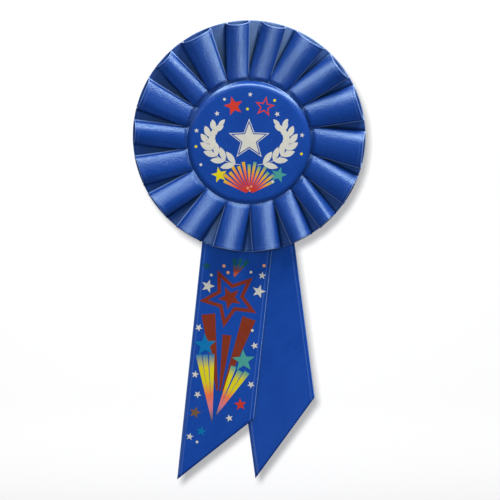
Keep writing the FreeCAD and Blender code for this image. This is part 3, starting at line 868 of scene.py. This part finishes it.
def leaf(sheet, root, angle, length, width, ink):
    """A pointed leaf from its root, at degrees clockwise from up."""
    turn = math.radians(angle)
    ahead = Vector((math.sin(turn), math.cos(turn)))
    side = Vector((ahead.y, -ahead.x))
    root = Vector(root)
    left, right = [], []
    for i in range(9):
        share = i / 8
        half = width / 2 * math.sin(math.pi * share) ** 0.8
        middle = root + ahead * length * share
        left.append(tuple(middle - side * half))
        right.append(tuple(middle + side * half))
    sheet.band(left, right, [ink] * len(left))


LAUREL_REACH = 14.2
LAUREL_MIDDLE = 0.6  # above the button's middle
LAUREL_SQUASH = 0.58  # the sprigs' arcs are this much lower than they are wide
LAUREL_STEM = 0.16  # half the stem's width
LAUREL_FOOT, LAUREL_TIP = 168, 50  # degrees from up, where a stem starts and ends
LAUREL_PAIRS = 7
LEAF_SPLAY = 34  # degrees between a leaf and its stem


def laurel_point(degrees, side, out=0.0):
    """A point of a sprig's arc, or that far outside it. Side is 1 to the right, -1 to the left."""
    angle = math.radians(degrees) * side
    radius = LAUREL_REACH + out
    return radius * math.sin(angle), LAUREL_MIDDLE + LAUREL_SQUASH * radius * math.cos(angle)


def laurel(sheet, side):
    """A silver laurel sprig that curves up beside the middle star."""
    steps = 24
    stem = [LAUREL_FOOT - (LAUREL_FOOT - LAUREL_TIP) * i / steps for i in range(steps + 1)]
    inner = [laurel_point(degrees, side, -LAUREL_STEM) for degrees in stem]
    outer = [laurel_point(degrees, side, LAUREL_STEM) for degrees in stem]
    sheet.band(inner, outer, [SILVER] * len(stem))
    for i in range(LAUREL_PAIRS):
        degrees = 160 - 16.5 * i
        root = laurel_point(degrees, side)
        along = (degrees - 90) * side
        size = 5.4 - 0.24 * i
        leaf(sheet, root, along + LEAF_SPLAY * side, size, 2.1, SILVER)
        leaf(sheet, root, along - LEAF_SPLAY * side, size, 2.1, SILVER)
    leaf(sheet, laurel_point(LAUREL_TIP, side), -42 * side, 3.6, 1.5, SILVER)


BURST_FOOT = -17.8  # where the rays meet, below the button's middle
BURST_RAYS = 13
BURST_HALF = 62  # degrees from the middle ray to the last one


def make_button_print(material):
    """Laurel sprigs round a star, over a burst of rays, with stars and dots above."""
    sheet = Print(button_face)
    laurel(sheet, 1)
    laurel(sheet, -1)
    sheet.star((0, 1.4), 5.8, SILVER)
    sheet.outlined_star((0, 1.4), 7.5, 0.7, SILVER)
    for i in range(BURST_RAYS):
        share = i / (BURST_RAYS - 1)
        angle = math.radians(BURST_HALF * (2 * share - 1))
        reach = 9.4 + 1.2 * math.cos(angle) + (1.0 if i % 2 else 0.0)
        foot = (1.0 * math.sin(angle), BURST_FOOT + 1.0 * math.cos(angle))
        tip = (reach * math.sin(angle), BURST_FOOT + reach * math.cos(angle))
        inks = [RED, RED, ORANGE, GOLD] if share < 0.45 else [RED, RED, ORANGE, GOLD, TEAL]
        sheet.ray(foot, tip, 0.3, 1.15, inks)
    for across, up, radius in ((-0.5, 2.2, 0.5), (0.7, 2.7, 0.4), (0.2, 1.2, 0.32)):
        sheet.dot((across, BURST_FOOT + up), radius, PEACH)
    sheet.star((-5.4, 13.2), 3.5, RED, tilt=-14)
    sheet.outlined_star((5.4, 13.0), 3.7, 1.2, RED, tilt=10)
    sheet.layer = 1
    sheet.star((-10.4, -11.0), 2.9, YELLOW, tilt=-12)
    sheet.star((10.4, -11.0), 2.9, TEAL, tilt=16)
    small = [(-11.2, 10.6, 1.0), (9.8, 10.4, 1.0), (-18.4, 4.6, 0.9), (18.5, 3.0, 0.9)]
    small += [(0.4, 17.3, 0.9)]
    for across, up, radius in small:
        sheet.star((across, up), radius, SILVER, tilt=20 * across)
    dots = [(-0.6, 12.2, YELLOW), (-8.6, 15.6, SILVER), (8.9, 15.2, YELLOW), (13.2, 8.2, SILVER)]
    dots += [(-18.6, -1.0, YELLOW), (18.3, -3.6, YELLOW), (-16.9, -7.4, SILVER), (8.2, -13.4, SILVER)]
    for across, up, ink in dots:
        sheet.dot((across, up), 0.5, ink)
    piece = sheet.make("button_print", material)
    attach(piece, "root")
    return piece


def shooting_star(sheet, star, radius, inks, tips, foot):
    """A star with three tapering trails that meet at a foot below it."""
    for tip in tips:
        sheet.ray(foot, tip, 0.2, 2.0, inks, steps=20)
    sheet.layer = 2
    sheet.star(star, radius, inks[-1], tilt=-8)
    sheet.layer = 1


def make_tail_print(material):
    """A big star over three blades, two shooting stars and a scatter of small stars."""
    lift = TAIL_THICKNESS / 2 + FOIL_THICKNESS / 2
    sheet = Print(lambda across, up, above: tail_place("front", across, up, lift + above))
    star, foot = (-0.6, -58.2), -92.0
    sheet.outlined_star(star, 11.0, 3.2, COPPER, tilt=186, inner=0.46)
    sheet.star(star, 4.4, COPPER, tilt=186)
    sheet.ray((-1.6, foot), (-7.6, -64.8), 0.6, 5.0, [COPPER, COPPER])
    sheet.ray((-0.6, foot), (-0.2, -71.6), 0.6, 3.2, [COPPER, COPPER])
    sheet.ray((0.4, foot), (7.0, -64.8), 0.6, 5.0, [COPPER, COPPER])
    sheet.layer = 1
    # The trail's blend of inks is print with a painted holographic reflection.
    trail = [SLATE, PINK, ORANGE, YELLOW, YELLOW]
    left = [(-9.6, -79.6), (-7.3, -79.4), (-4.9, -79.0)]
    shooting_star(sheet, (-7.6, -76.0), 4.2, trail + [BLUE], left, (-2.2, -103.5))
    right = [(3.4, -82.6), (5.9, -84.0), (8.4, -84.2)]
    shooting_star(sheet, (6.6, -80.2), 4.2, trail + [TEAL], right, (-1.0, -101.0))
    for across, up in ((-8.8, -54.8), (9.4, -54.8)):
        sheet.star((across, up), 2.5, SILVER, tilt=12)
    scatter = [(10.0, -49.0), (-10.5, -70.0), (10.0, -74.4), (-10.0, -87.0), (-8.4, -94.2)]
    scatter += [(3.8, -101.6), (-9.6, -109.8), (10.2, -88.6)]
    for i, (across, up) in enumerate(scatter):
        sheet.star((across, up), 1.4, SILVER, tilt=25 * i)
    sheet.star((7.2, -96.2), 2.3, RED, tilt=-10)
    sheet.star((-8.6, -100.8), 2.3, BRONZE, tilt=12)
    sheet.star((-5.7, -107.4), 1.9, BLUE, tilt=6)
    sheet.star((-10.0, -47.6), 1.6, DEEP_TEAL, tilt=-6)
    for across, up in ((-0.4, -44.0), (2.0, -43.8), (4.4, -44.2)):
        sheet.ray((0.2, -50.4), (across, up), 0.3, 1.5, [ORANGE, COPPER, DEEP_TEAL, DEEP_TEAL])
    for across, up in ((-3.9, -47.0), (-2.2, -49.2), (10.3, -45.4)):
        sheet.dot((across, up), 0.6, PEACH)
    for across, up in ((5.9, -48.2), (-8.0, -50.7), (8.6, -69.0), (-6.8, -111.5)):
        sheet.dot((across, up), 0.5, SILVER)
    piece = sheet.make("tail_print", material)
    join_tail(piece)
    return piece


# ---------------------------------------------------------------- CAD pieces that stay


def finish_cad_nodes():
    """Give every CAD node that is still shown its own detailed material."""
    card = board("paperboard")
    zinc, dull_zinc = linear(198, 198, 194), linear(150, 150, 146)
    steel, dull_steel = linear(190, 190, 186), linear(140, 139, 134)
    plate, dull_plate = linear(214, 211, 202), linear(176, 170, 156)
    wire = metal("staple_wire", zinc, dull_zinc, 0.32, (300, 9000, 9000), 0.4)
    pressed = metal("pressed_steel", steel, dull_steel, 0.36, (500, 500, 6000), 0.2)
    nickel = metal("nickel_plate", plate, dull_plate, 0.2, (350, 6000, 6000))
    finishes = {
        "backing_card": card,
        "ring_card": card,
        "pleat_thread": thread("sewing_thread"),
        "ring_staples": wire,
        "tail_staples": wire,
        "button_shell": pressed,
        "button_back_plate": pressed,
        "button_prongs": pressed,
        "pin_tape": foam("foam_tape"),
        "pin_base": nickel,
        "hinge_rivet": nickel,
        "pin_needle": nickel,
        "catch_housing": nickel,
        "catch_lock": nickel,
    }
    for name, material in finishes.items():
        mesh = nodes[name].data
        mesh.materials.clear()
        mesh.materials.append(material)


# ---------------------------------------------------------------- studio

# In metres.
FLOOR_LEVEL = -0.166
BACKDROP_BEHIND = 0.095
ROOM_FRONT = -1.4
ROOM_HALF_WIDTH = 1.3
ROOM_HEIGHT = 1.1
COVE_RADIUS = 0.05
COVE_STEPS = 12
RING_POINTS = 48
ROOM_GLOW = 0.41
LIGHT_TARGET = Vector((0, 0, -0.02))


def stage_material():
    """White paper that shows only from its front."""
    shader = Shader("white_paper")
    place = shader.place()
    tooth = shader.noise(place, 700.0, 3.0)
    shader.bump(tooth, 0.15, 0.05)
    shader.set(Base_Color=(0.97, 0.97, 0.97, 1), Roughness=0.95, Specular_IOR_Level=0.0)
    shader.set(Emission_Color=(1, 1, 1, 1), Emission_Strength=ROOM_GLOW)
    behind = shader.add("ShaderNodeNewGeometry").outputs["Backfacing"]
    clear = shader.add("ShaderNodeBsdfTransparent").outputs[0]
    mixed = shader.add("ShaderNodeMixShader", {0: behind, 1: shader.surface.outputs[0], 2: clear})
    output = shader.tree.nodes["Material Output"]
    shader.tree.links.new(mixed.outputs[0], output.inputs["Surface"])
    return shader.material


def wall_place(half, share):
    """How far a wall's point lies from the room's middle, for a share of -1 to 1 round it."""
    return (half - COVE_RADIUS) * math.copysign(min(1.0, 1.5 * abs(share)), share)


def room_ring(inset, level):
    """A rounded rectangle round the room, that far in from its walls."""
    points = []
    middle = (BACKDROP_BEHIND + ROOM_FRONT) / 2
    half_depth = (BACKDROP_BEHIND - ROOM_FRONT) / 2
    reach = COVE_RADIUS - inset
    for i in range(RING_POINTS):
        turn = 2 * math.pi * (i + 0.5) / RING_POINTS
        across, along = math.sin(turn), math.cos(turn)
        x = wall_place(ROOM_HALF_WIDTH, across) + reach * across
        y = wall_place(half_depth, along) + reach * along
        points.append((x, middle + y, level))
    return points


def make_stage():
    """A white room, its floor curving up into a backdrop close behind the ribbon."""
    rings = []
    for i in range(COVE_STEPS + 1):
        turn = math.pi / 2 * i / COVE_STEPS
        inset = COVE_RADIUS * (1 - math.sin(turn))
        rings.append(room_ring(inset, FLOOR_LEVEL + COVE_RADIUS * (1 - math.cos(turn))))
    rings.append(room_ring(0.0, ROOM_HEIGHT))
    points = [point for ring in rings for point in ring]
    faces = [tuple(reversed(range(RING_POINTS)))]
    for i in range(len(rings) - 1):
        faces += row_faces(i, RING_POINTS, closed=True)
    mesh = bpy.data.meshes.new("stage")
    mesh.from_pydata(points, [], faces)
    stage = link_mesh("stage", mesh, stage_material())
    stage.visible_diffuse = False
    stage.visible_glossy = False
    stage.visible_transmission = False
    stage.visible_shadow = False
    return stage


def add_light(name, azimuth, elevation, distance, size, watts, shines=True):
    """A square soft light that faces the rosette. Azimuth 0 is in front, 90 to the right; the
    distance and the light's size are in metres."""
    turn, lift = math.radians(azimuth), math.radians(elevation)
    towards = Vector((math.sin(turn) * math.cos(lift), -math.cos(turn) * math.cos(lift), math.sin(lift)))
    data = bpy.data.lights.new(name, "AREA")
    data.shape = "SQUARE"
    data.size = size
    data.energy = watts
    light = bpy.data.objects.new(name, data)
    bpy.context.scene.collection.objects.link(light)
    light.location = LIGHT_TARGET + towards * distance
    light.rotation_euler = (-towards).to_track_quat("-Z", "Y").to_euler()
    light.visible_glossy = shines
    return light


def collect(name, pieces, left_out):
    """A collection of pieces for a light to be linked with, or to leave out."""
    group = bpy.data.collections.new(name)
    for piece in pieces:
        group.objects.link(piece)
    for item in group.collection_objects:
        item.light_linking.link_state = "EXCLUDE" if left_out else "INCLUDE"
    return group


def make_lights(stage, button):
    """Soft boxes that light only the ribbon, and a small light that throws its shadow.
    The key reaches the pleats below the button as if bounced there."""
    soft = [
        add_light("key", 45, 61, 1.0, 0.45, 16.5),
        add_light("fill", -30, 25, 1.1, 0.3, 0.8),
        add_light("rear", 165, 30, 1.2, 0.8, 16.0),
        add_light("front", -3, 10, 0.98, 0.15, 7.1, shines=False),
    ]
    ribbon_only = collect("soft_boxes_leave_out", [stage], left_out=True)
    for light in soft:
        light.light_linking.receiver_collection = ribbon_only
    key = soft[0]
    key.light_linking.blocker_collection = collect("key_shines_past", button, left_out=True)
    shadow = add_light("shadow", -1.0, 9.4, 0.98, 0.03, 6.8, shines=False)
    shadow.light_linking.receiver_collection = collect("shadow_light_reaches", [stage], left_out=False)
    world = bpy.data.worlds.new("studio")
    world.use_nodes = True
    background = world.node_tree.nodes["Background"]
    background.inputs["Color"].default_value = (0.93, 0.95, 1.0, 1)
    background.inputs["Strength"].default_value = 0.03
    bpy.context.scene.world = world
    bpy.context.scene.view_settings.view_transform = "Standard"


# ---------------------------------------------------------------- whole scene

make_camera()
stage = make_stage()

strip_width = RING_OUTER - RING_INNER
pleats = make_pleats(satin("pleat_satin", strip_width, PLEAT_LENGTH, grained=0.8))
front = make_tail("front")
rear = make_tail("rear")
button_width = 2 * BUTTON_RADIUS
cover = make_button_cover(satin("button_satin", button_width, button_width, edged=False, gloss=0.8))
print_foil = foil("foil_print")
button_print = make_button_print(print_foil)
make_tail_print(print_foil)
finish_cad_nodes()
button = [nodes[name] for name in ("button_shell", "button_back_plate", "button_prongs")]
make_lights(stage, button + [cover, button_print])
